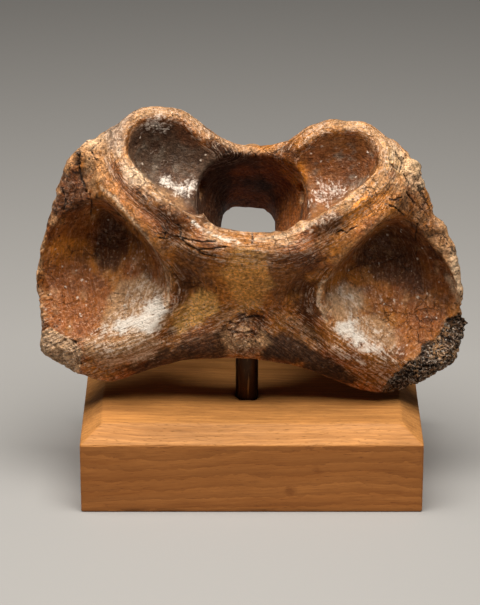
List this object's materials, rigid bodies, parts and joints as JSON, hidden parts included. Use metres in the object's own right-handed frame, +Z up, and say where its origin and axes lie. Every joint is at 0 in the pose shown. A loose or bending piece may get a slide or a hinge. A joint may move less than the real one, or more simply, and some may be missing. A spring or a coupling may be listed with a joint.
{
  "type": "bison atlas vertebra on a display stand",
  "caption": "First neck vertebra of a bison, stained brown, held belly side forward on a metal rod in a chamfered wooden block.",
  "frame": {"origin": "middle of the wooden block's underside", "axes": "+Z up, +X along the block and across the bone's wings, -Y towards the side that the picture shows"},
  "size_m": [0.1823, 0.089, 0.1667],
  "materials": {
    "bone": "old bone stained orange brown to dark brown, sealed to a soft gloss, with pale worn rims and dark spongy breaks",
    "rod": "darkened bronze, dull shine",
    "wood": "light brown hardwood with a satin clear coat, grain along the block"
  },
  "bodies": {
    "root": {"atlas": "bone", "stand_rod": "rod", "stand_block": "wood"}
  },
  "joints": []
}
